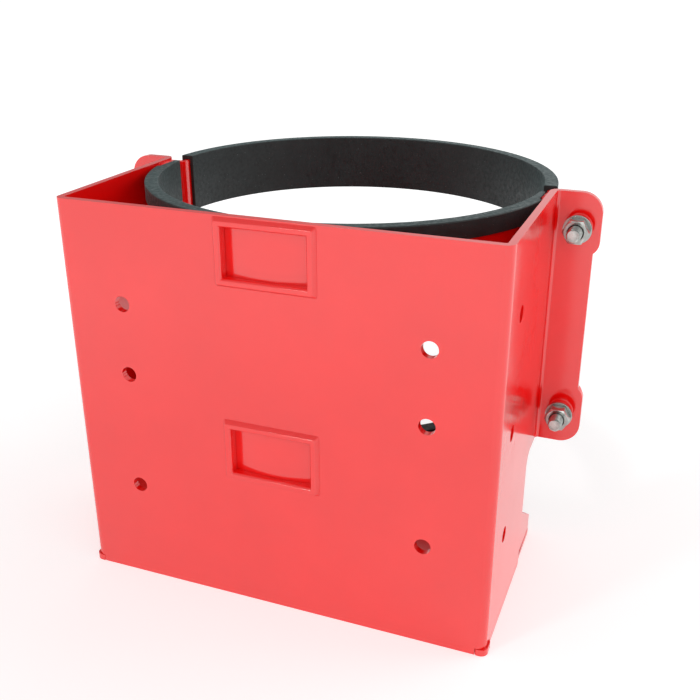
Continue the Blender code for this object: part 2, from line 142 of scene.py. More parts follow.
def prism(outline, start, end, axis="Z"):
    """Extrude an outline: its numbers are (x, y) along Z, (x, z) along Y, (y, z) along X."""
    place = {
        "Z": lambda a, b, depth: (a, b, depth),
        "Y": lambda a, b, depth: (a, depth, b),
        "X": lambda a, b, depth: (depth, a, b),
    }[axis]
    bm = bmesh.new()
    near = [bm.verts.new(place(a, b, start)) for a, b in outline]
    far = [bm.verts.new(place(a, b, end)) for a, b in outline]
    bm.faces.new(near)
    bm.faces.new(far)
    for i in range(len(outline)):
        j = (i + 1) % len(outline)
        bm.faces.new((near[i], near[j], far[j], far[i]))
    return bm


def box(low, high):
    (left, front, bottom), (right, rear, top) = low, high
    return prism([(left, front), (right, front), (right, rear), (left, rear)], bottom, top)


def rounded_rectangle(half_width, low, high, radius, steps=8):
    points = []
    for (x, z), start in (
        ((half_width - radius, low + radius), -90),
        ((half_width - radius, high - radius), 0),
        ((radius - half_width, high - radius), 90),
        ((radius - half_width, low + radius), 180),
    ):
        points += arc((x, z), radius, start, start + 90, steps)
    return points


def rounded_polygon(corners, radius, steps=4):
    """Round every corner of a closed outline."""
    points = []
    count = len(corners)
    for i in range(count):
        here = Vector(corners[i])
        before = Vector(corners[i - 1]) - here
        after = Vector(corners[(i + 1) % count]) - here
        reach = min(radius, before.length * 0.45, after.length * 0.45)
        first = here + before.normalized() * reach
        last = here + after.normalized() * reach
        for step in range(steps + 1):
            t = step / steps
            point = first * (1 - t) ** 2 + here * 2 * t * (1 - t) + last * t ** 2
            points.append((point.x, point.y))
    return points


def skin_rings(rings, closed):
    """Join equal loops of points into one skin, closed on itself or capped."""
    bm = bmesh.new()
    loops = [[bm.verts.new(point) for point in ring] for ring in rings]
    pairs = list(zip(loops, loops[1:]))
    if closed:
        pairs.append((loops[-1], loops[0]))
    else:
        bm.faces.new(loops[0])
        bm.faces.new(loops[-1])
    for near, far in pairs:
        for i in range(len(near)):
            j = (i + 1) % len(near)
            bm.faces.new((near[i], near[j], far[j], far[i]))
    return bm


def carve(obj, cutters, operation="DIFFERENCE"):
    """Combine the shapes with obj, by default cutting them out, and keep the result."""
    helpers = []
    for i, bm in enumerate(cutters):
        helper = new_object("helper_%d" % i, bm)
        boolean = obj.modifiers.new(helper.name, "BOOLEAN")
        boolean.operation = operation
        boolean.object = helper
        helpers.append(helper)
    depsgraph = bpy.context.evaluated_depsgraph_get()
    result = bpy.data.meshes.new_from_object(obj.evaluated_get(depsgraph))
    old = obj.data
    obj.modifiers.clear()
    obj.data = result
    bpy.data.meshes.remove(old)
    for helper in helpers:
        bpy.data.objects.remove(helper, do_unlink=True)


def round_edges(obj, width, angle=35, segments=3):
    """Round the edges sharper than an angle, and keep the flat faces' shading flat."""
    bevel = obj.modifiers.new("edge_round", "BEVEL")
    bevel.width = width
    bevel.segments = segments
    bevel.limit_method = "ANGLE"
    bevel.angle_limit = math.radians(angle)
    weighted = obj.modifiers.new("flat_faces", "WEIGHTED_NORMAL")
    weighted.mode = "FACE_AREA"
    weighted.weight = 75
    obj.data.shade_smooth()


def finish_piece(obj, material, body, slot, *nodes):
    obj.data.materials.clear()
    obj.data.materials.append(material)
    obj.data.shade_smooth()
    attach(obj, body)
    if nodes:
        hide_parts(*nodes)


# --- Materials ---------------------------------------------------------------------------

def map_range(tree, value, start, end, low, high, interpolation="SMOOTHSTEP"):
    """Map a value from start..end to low..high."""
    node = tree.nodes.new("ShaderNodeMapRange")
    node.interpolation_type = interpolation
    for name, number in (("From Min", start), ("From Max", end), ("To Min", low), ("To Max", high)):
        node.inputs[name].default_value = number
    tree.links.new(value, node.inputs["Value"])
    return node.outputs["Result"]


def calculate(tree, operation, first, second):
    node = tree.nodes.new("ShaderNodeMath")
    node.operation = operation
    for socket, value in zip(node.inputs, (first, second)):
        if isinstance(value, bpy.types.NodeSocket):
            tree.links.new(value, socket)
        else:
            socket.default_value = value
    return node.outputs["Value"]


class Nodes:
    """A small helper for writing a material's node tree."""

    def __init__(self, name):
        self.material = bpy.data.materials.new(name)
        self.material.use_nodes = True
        self.tree = self.material.node_tree
        self.shader = self.tree.nodes["Principled BSDF"]
        coordinates = self.tree.nodes.new("ShaderNodeTexCoord")
        self.place = coordinates.outputs["Object"]

    def link(self, source, target):
        self.tree.links.new(source, target)

    def noise(self, scale, detail, roughness=0.55):
        node = self.tree.nodes.new("ShaderNodeTexNoise")
        node.inputs["Scale"].default_value = scale
        node.inputs["Detail"].default_value = detail
        node.inputs["Roughness"].default_value = roughness
        self.link(self.place, node.inputs["Vector"])
        return node.outputs["Fac"]

    def cells(self, scale):
        node = self.tree.nodes.new("ShaderNodeTexVoronoi")
        node.inputs["Scale"].default_value = scale
        self.link(self.place, node.inputs["Vector"])
        return node.outputs["Distance"]

    def spread(self, value, low, high, start=0.0, end=1.0):
        """Map a value from start..end to low..high."""
        return map_range(self.tree, value, start, end, low, high, "LINEAR")

    def mix(self, factor, first, second):
        node = self.tree.nodes.new("ShaderNodeMix")
        node.data_type = "RGBA"
        for name, value in (("Factor", factor), ("A", first), ("B", second)):
            if isinstance(value, tuple):
                node.inputs[name].default_value = (*value, 1)
            else:
                self.link(value, node.inputs[name])
        return node.outputs["Result"]

    def bump(self, height, strength, distance, normal=None):
        node = self.tree.nodes.new("ShaderNodeBump")
        node.inputs["Strength"].default_value = strength
        node.inputs["Distance"].default_value = distance
        self.link(height, node.inputs["Height"])
        if normal:
            self.link(normal, node.inputs["Normal"])
        return node.outputs["Normal"]

    def edges(self):
        """About 0.5 on flat faces, and more on convex edges."""
        node = self.tree.nodes.new("ShaderNodeNewGeometry")
        return node.outputs["Pointiness"]


THIN_RED = (0.80, 0.0035, 0.003)
THICK_RED = (0.86, 0.0045, 0.004)
CLEAN_RUBBER = (0.0075, 0.0098, 0.0100)
DUSTY_RUBBER = (0.013, 0.0165, 0.0170)
PALE_SPECK = (0.13, 0.15, 0.15)
DULL_ZINC = (0.31, 0.325, 0.31)
BRIGHT_ZINC = (0.39, 0.40, 0.385)
WORN_ZINC = (0.60, 0.61, 0.59)


def powder_coat():
    """Glossy red powder coat: fine orange peel, faint thickness mottling, uneven shine."""
    m = Nodes("red_powder_coat")
    shader = m.shader
    mottle = m.noise(14, 4)
    color = m.mix(m.spread(mottle, 0, 1, 0.3, 0.7), THIN_RED, THICK_RED)
    m.link(color, shader.inputs["Base Color"])
    m.link(m.spread(m.noise(22, 4), 0.12, 0.16, 0.3, 0.7), shader.inputs["Roughness"])
    peel = m.bump(m.noise(650, 2, 0.45), 0.04, 0.0002)
    wave = m.bump(m.noise(120, 1, 0.4), 0.012, 0.0004, peel)
    m.link(wave, shader.inputs["Normal"])
    shader.inputs["IOR"].default_value = 1.9
    return m.material


def moulded_rubber():
    """Black moulded rubber: matt, fine-grained, with pale specks and a dusty bloom."""
    m = Nodes("moulded_rubber")
    shader = m.shader
    bloom = m.noise(30, 5, 0.6)
    color = m.mix(m.spread(bloom, 0, 1, 0.35, 0.7), CLEAN_RUBBER, DUSTY_RUBBER)
    speck = m.spread(m.cells(420), 1, 0, 0.05, 0.16)
    patch = m.spread(m.noise(300, 2), 0, 1, 0.52, 0.60)
    color = m.mix(calculate(m.tree, "MULTIPLY", speck, patch), color, PALE_SPECK)
    m.link(color, shader.inputs["Base Color"])
    m.link(m.spread(m.noise(320, 4), 0.34, 0.66, 0.32, 0.68), shader.inputs["Roughness"])
    grain = m.bump(m.noise(900, 3, 0.6), 0.30, 0.0003)
    m.link(grain, shader.inputs["Normal"])
    shader.inputs["Specular IOR Level"].default_value = 0.42
    shader.inputs["Sheen Weight"].default_value = 0.10
    shader.inputs["Sheen Roughness"].default_value = 0.45
    shader.inputs["Sheen Tint"].default_value = (0.45, 1.0, 1.0, 1)
    return m.material


def zinc_plate():
    """Bright zinc: cloudy tint, uneven shine and light scuffs."""
    m = Nodes("zinc_plate")
    shader = m.shader
    cloud = m.noise(180, 5, 0.6)
    color = m.mix(m.spread(cloud, 0, 1, 0.3, 0.7), DULL_ZINC, BRIGHT_ZINC)
    worn = m.spread(m.edges(), 0, 0.7, 0.52, 0.60)
    color = m.mix(worn, color, WORN_ZINC)
    m.link(color, shader.inputs["Base Color"])
    m.link(m.spread(m.noise(500, 4), 0.13, 0.24, 0.3, 0.7), shader.inputs["Roughness"])
    scuff = m.bump(m.noise(1400, 3, 0.7), 0.05, 0.0001)
    m.link(scuff, shader.inputs["Normal"])
    shader.inputs["Metallic"].default_value = 1.0
    return m.material


RED = powder_coat()
RUBBER = moulded_rubber()
ZINC = zinc_plate()


# --- Folded body -------------------------------------------------------------------------

PANEL_HOLE_X = 129.5 * MM
PANEL_HOLE_Z = (262 * MM, 199.5 * MM, 93 * MM)
SIDE_HOLE_Y = PANEL_FACE + 46 * MM
SIDE_HOLE_Z = (281 * MM, 182 * MM, 89 * MM)
FIXING_RADIUS = 6.75 * MM
FLANGE_BOTTOM = 116 * MM
FLANGE_WAIST = FLANGE_REACH - 4.7 * MM
EAR_CORNER = 18 * MM
EAR_ROUND = 12 * MM
UPPER_EAR_FOOT = 303.5 * MM
LOWER_EAR_FOOT = 160 * MM
SIDE_REAR = PANEL_FACE + 133 * MM
RELIEF_ROUND = 14 * MM
TONGUE_HALF = 176.4 * MM
TUBE_ROUND = 2 * MM
BAND_CONTACT = 16


def body_plan():
    """The bent sheet from above, the right half outside and then back inside."""
    outer = BEND_INNER + SHEET
    inside = HALF_WIDTH - SHEET
    flange_front = FLANGE_REAR - SHEET
    bend = (HALF_WIDTH + FLANGE_BEND, flange_front - FLANGE_BEND)
    outside = arc((HALF_WIDTH - outer, PANEL_FACE + outer), outer, -90, 0, 12)
    outside += arc(bend, FLANGE_BEND, 180, 90, 8)
    outside += [(FLANGE_REACH, flange_front)]
    back = [(FLANGE_REACH, FLANGE_REAR)]
    back += arc(bend, FLANGE_BEND + SHEET, 90, 180, 12)
    back += arc((inside - BEND_INNER, PANEL_FACE + SHEET + BEND_INNER), BEND_INNER, 0, -90, 6)
    return outside + back + mirrored(back) + mirrored(outside)


def flange_trim(side):
    """What is cut from a flange's outer edge: two round corners and the waist between the ears."""
    corner = EAR_CORNER
    round_x = FLANGE_REACH - EAR_ROUND
    angle = math.degrees(math.acos((FLANGE_WAIST - round_x) / EAR_ROUND))
    outline = arc((FLANGE_REACH - corner, HEIGHT - corner), corner, 90, 0, 14)
    outline += arc((round_x, UPPER_EAR_FOOT), EAR_ROUND, 0, -angle, 8)
    outline += arc((round_x, LOWER_EAR_FOOT), EAR_ROUND, angle, 0, 8)
    outline += arc((FLANGE_REACH - corner, FLANGE_BOTTOM + corner), corner, 0, -90, 14)
    start_x = FLANGE_REACH - corner
    beyond = FLANGE_REACH + PAST
    outline += [(start_x, FLANGE_BOTTOM - PAST), (beyond, FLANGE_BOTTOM - PAST)]
    outline += [(beyond, HEIGHT + PAST), (start_x, HEIGHT + PAST)]
    outline = [(side * x, z) for x, z in outline]
    return prism(outline, FLANGE_REAR - SHEET - PAST, FLANGE_REAR + PAST, "Y")


def side_relief(side):
    """The cut that ends the side plate's lower part, with a round inner corner."""
    center = (SIDE_REAR + RELIEF_ROUND, FLANGE_BOTTOM - RELIEF_ROUND)
    outline = [(SIDE_REAR, -PAST)]
    outline += arc(center, RELIEF_ROUND, 180, 90, 12)
    outline += [(FLANGE_REAR + PAST, FLANGE_BOTTOM), (FLANGE_REAR + PAST, -PAST)]
    near = side * (HALF_WIDTH - SHEET - PAST)
    return prism(outline, near, side * (FLANGE_REACH + PAST), "X")


def rod(radius, start, end, x, z, axis="Y", steps=48):
    outline = arc((x, z), radius, 0, 360, steps)[:-1]
    return prism(outline, start, end, axis)


def ring_plan(inner, outer, start, end, steps):
    """A ring segment round the clamp axis between two angles in degrees."""
    center = (0, AXIS_Y)
    return arc(center, outer, start, end, steps) + arc(center, inner, end, start, steps)


def make_body():
    body = new_object("body_shell", prism(body_plan(), 0, HEIGHT))
    panel = (PANEL_FACE - PAST, PANEL_FACE + SHEET + PAST)
    flange = (FLANGE_REAR - SHEET - PAST, FLANGE_REAR + PAST)
    cutters = []
    for _, side in SIDES:
        cutters.append(flange_trim(side))
        cutters.append(side_relief(side))
        near, far = sorted((side * TONGUE_HALF, side * (HALF_WIDTH + PAST)))
        low = (near, PANEL_FACE - PAST, -PAST)
        cutters.append(box(low, (far, FLANGE_REAR + PAST, SHEET + GAP)))
        for z in PANEL_HOLE_Z:
            cutters.append(rod(FIXING_RADIUS, *panel, side * PANEL_HOLE_X, z))
        near, far = side * (HALF_WIDTH - SHEET - PAST), side * (HALF_WIDTH + PAST)
        for z in SIDE_HOLE_Z:
            cutters.append(rod(FIXING_RADIUS, near, far, SIDE_HOLE_Y, z, "X"))
        for z in LEVELS.values():
            cutters.append(rod(FIXING_RADIUS, *flange, side * BOLT_X, z))
    for z in LEVELS.values():
        half = TUBE_HALF_HEIGHT + GAP
        outline = rounded_rectangle(TUBE_HALF + GAP, z - half, z + half, TUBE_ROUND + GAP)
        cutters.append(prism(outline, *panel, "Y"))
        start, end = -90 - BAND_CONTACT, -90 + BAND_CONTACT
        swell = ring_plan(BAND_INNER, BAND_INNER + BAND + GAP, start, end, 40)
        half = BAND_HEIGHT / 2 + GAP
        cutters.append(prism(swell, z - half, z + half))
    carve(body, cutters)
    round_edges(body, SHEET_EDGE)
    finish_piece(body, RED, "frame", "red_powder_coat", "folded_body")


# --- Base plate --------------------------------------------------------------------------

BASE_HALF = 183.8 * MM
LOBE_ROUND = 6 * MM
LOBE_LENGTH = 13 * MM
LOBE_TAPER = 3 * MM
CHAMFER = 1 * MM
LIP_HALF = 183.6 * MM
LIP_BEND = 5 * MM
LIP_ROOT = 20 * MM
LIP_SUNK = 2 * MM
LIP_CHAMFER = 1.5 * MM


def base_outline():
    lobe_x = BASE_HIGH[0]
    root = TONGUE_HALF + GAP
    front = BASE_LOW[1]
    lobe_end = PANEL_FACE + LOBE_LENGTH
    right = [(root, PANEL_FACE + SHEET + GAP), (root, front + CHAMFER), (root + CHAMFER, front)]
    right += arc((lobe_x - LOBE_ROUND, front + LOBE_ROUND), LOBE_ROUND, -90, 0, 10)
    right += [(lobe_x, lobe_end), (HALF_WIDTH, lobe_end + LOBE_TAPER)]
    right += [(HALF_WIDTH, SIDE_REAR), (BASE_HALF, SIDE_REAR), (BASE_HALF, BASE_REAR)]
    return right + mirrored(right)


def make_base():
    """Base plate with its up-turned rear lip and a sloped gusset behind each side plate."""
    base = new_object("base_tray", prism(base_outline(), 0, SHEET))
    rear = BASE_REAR
    sunk = SHEET - LIP_SUNK
    section = [(rear - SHEET - LIP_ROOT, sunk), (rear - LIP_CHAMFER, sunk), (rear, SHEET)]
    section += [(rear, LIP_HEIGHT), (rear - SHEET, LIP_HEIGHT)]
    section += arc((rear - SHEET - LIP_BEND, SHEET + LIP_BEND), LIP_BEND, 0, -90, 10)
    section += [(rear - SHEET - LIP_ROOT, SHEET)]
    lip_end = LIP_HALF - SHEET / 2
    lips = [prism(section, -lip_end, lip_end, "X")]
    start, end = SIDE_REAR + GAP, rear - GAP
    gusset = [(start, sunk), (end, sunk), (end, LIP_HEIGHT - GAP), (start, GUSSET_HEIGHT)]
    for _, side in SIDES:
        near, far = sorted((side * (LIP_HALF - SHEET), side * LIP_HALF))
        lips.append(prism(gusset, near, far, "X"))
    carve(base, lips, "UNION")
    round_edges(base, SHEET_EDGE)
    finish_piece(base, RED, "frame", "red_powder_coat", "base_plate")


# --- Clamps ------------------------------------------------------------------------------

CLAMP_EAR_BEND = 4 * MM
CLAMP_EAR_ROUND = 12 * MM
RUBBER_CORNER = 1.1 * MM
RUBBER_SPARE_ANGLE = 12
RUBBER_BEHIND = 80 * MM
SIDE_TRIM_START = PANEL_FACE + 60 * MM
WELD_NOTCH_START = PANEL_FACE + 143 * MM
WELD_NOTCH_X = 175 * MM
WELD_NOTCH_DEPTH = 5 * MM


def end_angle(radius, y):
    """The angle, in degrees, at which a circle round the clamp axis reaches y."""
    return math.degrees(math.asin((y - AXIS_Y) / radius))


def make_front_band(name, z):
    outer = BAND_INNER + BAND
    center = (0, AXIS_Y)
    outside_end = end_angle(outer, SPLIT_FRONT)
    inside_end = end_angle(BAND_INNER, SPLIT_FRONT)
    plan = arc(center, outer, -180 - outside_end, outside_end, 120)
    plan += arc(center, BAND_INNER, inside_end, -180 - inside_end, 120)
    half = BAND_HEIGHT / 2
    band = new_object("fixed_band_" + name, prism(plan, z - half, z + half))
    round_edges(band, BAND_EDGE)
    finish_piece(band, RED, "frame", "red_powder_coat", "front_band_" + name)


def rear_band_plan():
    """The half ring and its bent-out ears from above."""
    outer = BAND_INNER + BAND
    center = (0, AXIS_Y)
    bend_inner = CLAMP_EAR_BEND
    bend_outer = bend_inner + BAND
    bend_y = EAR_FRONT + bend_outer
    start = end_angle(BAND_INNER, bend_y)
    bend_x = BAND_INNER * math.cos(math.radians(start)) + bend_outer
    stop = end_angle(outer, bend_y)
    inside = arc(center, BAND_INNER, 90, start, 64)
    inside += arc((bend_x, bend_y), bend_outer, 180, 270, 12)[1:]
    inside += [(EAR_REACH, EAR_FRONT)]
    outside = [(EAR_REACH, EAR_FRONT + BAND)]
    outside += arc((bend_x, bend_y), bend_inner, 270, 180, 12)[:-1]
    outside += arc(center, outer, stop, 90, 64)
    return inside + outside[:-1] + mirrored(outside) + mirrored(inside)[:-1]


def ear_corners(side, z):
    """What is cut from an ear's outer edge to round its corners."""
    low = z - BAND_HEIGHT / 2
    high = z + BAND_HEIGHT / 2
    radius = CLAMP_EAR_ROUND
    start_x = EAR_REACH - radius
    outline = arc((start_x, high - radius), radius, 90, 0, 10)
    outline += arc((start_x, low + radius), radius, 0, -90, 10)
    outline += [(start_x, low - PAST), (EAR_REACH + PAST, low - PAST)]
    outline += [(EAR_REACH + PAST, high + PAST), (start_x, high + PAST)]
    outline = [(side * x, height) for x, height in outline]
    return prism(outline, EAR_FRONT - PAST, EAR_FRONT + BAND + PAST, "Y")


def make_rear_band(name, z):
    half = BAND_HEIGHT / 2
    band = new_object("clamp_band_" + name, prism(rear_band_plan(), z - half, z + half))
    start, end = EAR_FRONT - PAST, EAR_FRONT + BAND + PAST
    cutters = []
    for _, side in SIDES:
        cutters.append(ear_corners(side, z))
        cutters.append(rod(FIXING_RADIUS, start, end, side * BOLT_X, z))
    carve(band, cutters)
    round_edges(band, BAND_EDGE)
    finish_piece(band, RED, name + "_clamp", "red_powder_coat", "rear_band_" + name)


def rubber_section():
    """The rubber channel's section as (radius, height): it wraps the band's top and bottom."""
    half = RUBBER_HEIGHT / 2
    pocket = BAND_HEIGHT / 2 + GAP
    liner = BORE + LINER
    lip_inner = BAND_INNER + BAND + GAP
    upper = [
        (BORE, half),
        (RUBBER_OUTER, half),
        (RUBBER_OUTER, half - LIP_DOWN),
        (lip_inner, half - LIP_DOWN),
        (lip_inner, pocket),
        (liner, pocket),
    ]
    corners = upper + [(radius, -height) for radius, height in reversed(upper)]
    return rounded_polygon(corners, RUBBER_CORNER, 3)


def rubber_sweep(z, start, end, steps):
    """The rubber channel swept round the clamp axis between two angles in degrees."""
    section = rubber_section()
    middle = Vector((0, AXIS_Y, z))
    rings = []
    for i in range(steps + 1):
        angle = math.radians(start + (end - start) * i / steps)
        across = Vector((math.cos(angle), math.sin(angle), 0))
        ring = [middle + across * radius + Vector((0, 0, height)) for radius, height in section]
        rings.append(ring)
    return skin_rings(rings, closed=False)


def make_rear_rubber(name, z):
    reach = RUBBER_OUTER + PAST
    low, high = z - RUBBER_HEIGHT, z + RUBBER_HEIGHT
    rubber = new_object("clamp_rubber_" + name, rubber_sweep(z, 0, 180, 140))
    carve(rubber, [box((-reach, AXIS_Y - PAST, low), (reach, SPLIT_REAR, high))])
    round_edges(rubber, REAR_RUBBER_EDGE, 50, 2)
    finish_piece(rubber, RUBBER, name + "_clamp", "black_rubber", "rear_rubber_" + name)


def make_front_rubber(name, z):
    """The fixed rubber, trimmed at the panel, the side plates and the band's welds."""
    reach = RUBBER_OUTER + PAST
    low, high = z - RUBBER_HEIGHT, z + RUBBER_HEIGHT
    spare = RUBBER_SPARE_ANGLE
    rubber = new_object("fixed_rubber_" + name, rubber_sweep(z, -180 - spare, spare, 160))
    behind = SPLIT_FRONT + RUBBER_BEHIND
    cutters = [
        box((-reach, PANEL_FACE - PAST, low), (reach, PANEL_FACE + SHEET + GAP, high)),
        box((-reach, SPLIT_FRONT, low), (reach, behind, high)),
    ]
    wall = FRONT_RUBBER_HIGH[0]
    notch = RUBBER_HEIGHT / 2 - WELD_NOTCH_DEPTH
    for _, side in SIDES:
        near, far = sorted((side * wall, side * reach))
        cutters.append(box((near, SIDE_TRIM_START, low), (far, behind + 5 * MM, high)))
        near, far = sorted((side * WELD_NOTCH_X, side * reach))
        for start, stop in ((z + notch, high), (low, z - notch)):
            corner = (near, WELD_NOTCH_START, start)
            cutters.append(box(corner, (far, behind + 3 * MM, stop)))
    carve(rubber, cutters)
    round_edges(rubber, FRONT_RUBBER_EDGE, 50, 2)
    finish_piece(rubber, RUBBER, "frame", "black_rubber", "front_rubber_" + name)


# --- Tube stubs --------------------------------------------------------------------------

STUB_START = 1.05 * MM
STUB_LENGTH = 8 * MM
STUB_BORE_ROUND = 0.5 * MM
COPE_INNER = 100 * MM
COPE_ANGLE = 40


def make_tube(name, z):
    """A short tube through the panel, coped at the back to fit the band."""
    half = TUBE_HALF_HEIGHT
    outer = rounded_rectangle(TUBE_HALF, z - half, z + half, TUBE_ROUND)
    start, end = PANEL_FACE + STUB_START, PANEL_FACE + STUB_LENGTH
    tube = new_object("stub_" + name, prism(outer, start, end, "Y"))
    half -= TUBE_WALL
    width = TUBE_HALF - TUBE_WALL
    inner = rounded_rectangle(width, z - half, z + half, STUB_BORE_ROUND, 3)
    angles = (-90 - COPE_ANGLE, -90 + COPE_ANGLE)
    cope = ring_plan(COPE_INNER, BAND_INNER + BAND + GAP, *angles, 96)
    half = TUBE_HALF_HEIGHT + PAST
    carve(tube, [
        prism(inner, PANEL_FACE - PAST, end + PAST, "Y"),
        prism(cope, z - half, z + half),
    ])
    round_edges(tube, STUB_EDGE)
    finish_piece(tube, RED, "frame", "red_powder_coat", "tube_stub_" + name)


# --- Welds -------------------------------------------------------------------------------

BEAD_STEP = 0.8 * MM
BEAD_WAVE = 2.6 * MM
BEAD_SIDES = 12
BEAD_TAPER = 4
BEAD_UNEVEN = 0.03
BAND_WELD_RADIUS = 3.0 * MM
BAND_WELD_RISE = 1.4 * MM
BAND_WELD_START = PANEL_FACE + 149 * MM
BAND_WELD_STEP = 2.6 * MM
BAND_WELD_POINTS = 9
SEAM_RADIUS = 2.6 * MM
SEAM_INSET = 0.6 * MM
SEAM_RISE = 0.8 * MM


def bead(name, path, radius, seed, ripple=0.08):
    """A weld bead with overlapping ripples, swept along a path of points."""
    rng = random.Random(seed)
    points = resample([Vector(p) for p in path], BEAD_STEP)
    rings = []
    count = len(points)
    for i, point in enumerate(points):
        after = points[i + 1] if i + 1 < count else point
        before = points[i - 1] if i > 0 else point
        along = (after - before).normalized()
        side = along.cross(Vector((0, 0, 1))).normalized()
        up = side.cross(along)
        wave = math.sin(2 * math.pi * i * BEAD_STEP / BEAD_WAVE)
        swell = 1 + ripple * wave + rng.uniform(-BEAD_UNEVEN, BEAD_UNEVEN)
        taper = min(1, (i + 0.6) / BEAD_TAPER, (count - 1 - i + 0.6) / BEAD_TAPER)
        swell *= math.sqrt(taper)
        ring = []
        for k in range(BEAD_SIDES):
            angle = 2 * math.pi * k / BEAD_SIDES
            out = side * math.cos(angle) + up * math.sin(angle)
            ring.append(point + out * radius * swell)
        rings.append(ring)
    return new_object(name, skin_rings(rings, closed=False))


def resample(points, step):
    """Points at an even spacing along a path."""
    lengths = [0.0]
    for a, b in zip(points, points[1:]):
        lengths.append(lengths[-1] + (b - a).length)
    total = lengths[-1]
    count = max(4, round(total / step))
    result = []
    segment = 0
    for i in range(count + 1):
        distance = total * i / count
        while segment < len(points) - 2 and lengths[segment + 1] < distance:
            segment += 1
        span = lengths[segment + 1] - lengths[segment]
        t = (distance - lengths[segment]) / span if span else 0
        result.append(points[segment].lerp(points[segment + 1], t))
    return result


def make_stub_weld(name, z):
    """The mitred frame round a stub: bevelled up from the panel, a flat face, a bevel inside."""
    section = (  # distance out from the tube's outer face, y, corner radius
        (2.5 * MM, PANEL_FACE + 0.1 * MM, 2.0 * MM),
        (-0.2 * MM, TUBE_FRONT, 1.4 * MM),
        (-3.6 * MM, TUBE_FRONT, 0.5 * MM),
        (-TUBE_WALL, PANEL_FACE - 2.2 * MM, 0.5 * MM),
        (-TUBE_WALL, PANEL_FACE + STUB_START, 0.5 * MM),
        (-1 * MM, PANEL_FACE + STUB_START, 1.4 * MM),
        (-1 * MM, PANEL_FACE + 0.1 * MM, 1.4 * MM),
    )
    rings = []
    for out, y, radius in section:
        half = TUBE_HALF_HEIGHT + out
        outline = rounded_rectangle(TUBE_HALF + out, z - half, z + half, radius)
        rings.append([(x, y, height) for x, height in outline])
    weld = new_object("stub_weld_" + name, skin_rings(rings, closed=True))
    round_edges(weld, STUB_FRAME_EDGE, 25)
    finish_piece(weld, RED, "frame", "red_powder_coat")


def make_band_weld(name, side, height):
    """A bead between the fixed band's end and the side plate, over or under the band."""
    radius = BAND_INNER + BAND
    path = []
    for step in range(BAND_WELD_POINTS):
        y = BAND_WELD_START + BAND_WELD_STEP * step
        skin = math.sqrt(radius ** 2 - (y - AXIS_Y) ** 2)
        path.append((side * (skin + HALF_WIDTH - SHEET) / 2, y, height))
    weld = bead(name, path, BAND_WELD_RADIUS, 7, 0.12)
    finish_piece(weld, RED, "frame", "red_powder_coat")


def make_seam_weld(name, start, end, seed):
    """A straight bead on the base plate, along the inside of the body."""
    z = SHEET + SEAM_RISE
    weld = bead(name, [(*start, z), (*end, z)], SEAM_RADIUS, seed)
    finish_piece(weld, RED, "frame", "red_powder_coat")


def make_welds():
    rise = BAND_HEIGHT / 2 + BAND_WELD_RISE
    for name, z in LEVELS.items():
        make_stub_weld(name, z)
        for side_name, side in SIDES:
            tag = "band_weld_%s_%s_" % (name, side_name)
            make_band_weld(tag + "top", side, z + rise)
            make_band_weld(tag + "foot", side, z - rise)
    for side_name, side in SIDES:
        x = side * (HALF_WIDTH - SHEET - SEAM_INSET)
        start, end = (x, PANEL_FACE + 12 * MM), (x, SIDE_REAR - 3 * MM)
        make_seam_weld("side_weld_" + side_name, start, end, 11)
    y = PANEL_FACE + SHEET + SEAM_INSET
    half = TONGUE_HALF - 4 * MM
    make_seam_weld("front_weld", (-half, y), (half, y), 13)


# --- Hardware ----------------------------------------------------------------------------

SHANK = 6 * MM
PITCH = 1.75 * MM
THREAD_DEPTH = 0.85 * MM
THREAD_SIDES = 40
THREAD_ROWS = 12                # rings of points in one turn
TIP_CHAMFER = 1.1 * MM
HEAD_HEIGHT = 7.5 * MM
HEX_FLATS = 19 * MM
HEX_CORNER = HEX_FLATS / 2 / math.cos(math.radians(30))
HEX_FACE = HEX_FLATS / 2 * 0.97
HEX_TURNED = HEX_CORNER + 0.2 * MM
HEX_DROP = (HEX_TURNED - HEX_FACE) * math.tan(math.radians(28))
HEX_SINK = 0.9 * MM
WASHER_RADIUS = (WASHER_HIGH[0] - WASHER_LOW[0]) / 2
CLEARANCE = 6.5 * MM
BOSS_FILLET = 1.4 * MM


def hex_prism(x, z, start, end):
    return prism(arc((x, z), HEX_CORNER, 0, 360, 6)[:-1], start, end, "Y")


def turned(x, z, profile, steps=48, closed=False):
    """A shape turned about Y; the profile holds (radius, y) points, open or a closed section."""
    rings = []
    for radius, y in profile:
        rings.append([(a, y, b) for a, b in arc((x, z), radius, 0, 360, steps)[:-1]])
    return skin_rings(rings, closed)


def make_boss(name, side, z):
    """Turned boss with a small weld fillet where it meets the flange."""
    low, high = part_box(name)
    start, end = low[1], high[1]
    radius = (high[0] - low[0]) / 2
    profile = [
        (CLEARANCE, start), (radius, start), (radius, end - 1.6 * MM),
        (radius + 0.5 * MM, end - 0.6 * MM), (radius + BOSS_FILLET, end), (CLEARANCE, end),
    ]
    boss = new_object(name + "_collar", turned(side * BOLT_X, z, profile, closed=True))
    round_edges(boss, BOSS_EDGE)
    finish_piece(boss, RED, "frame", "red_powder_coat", name)


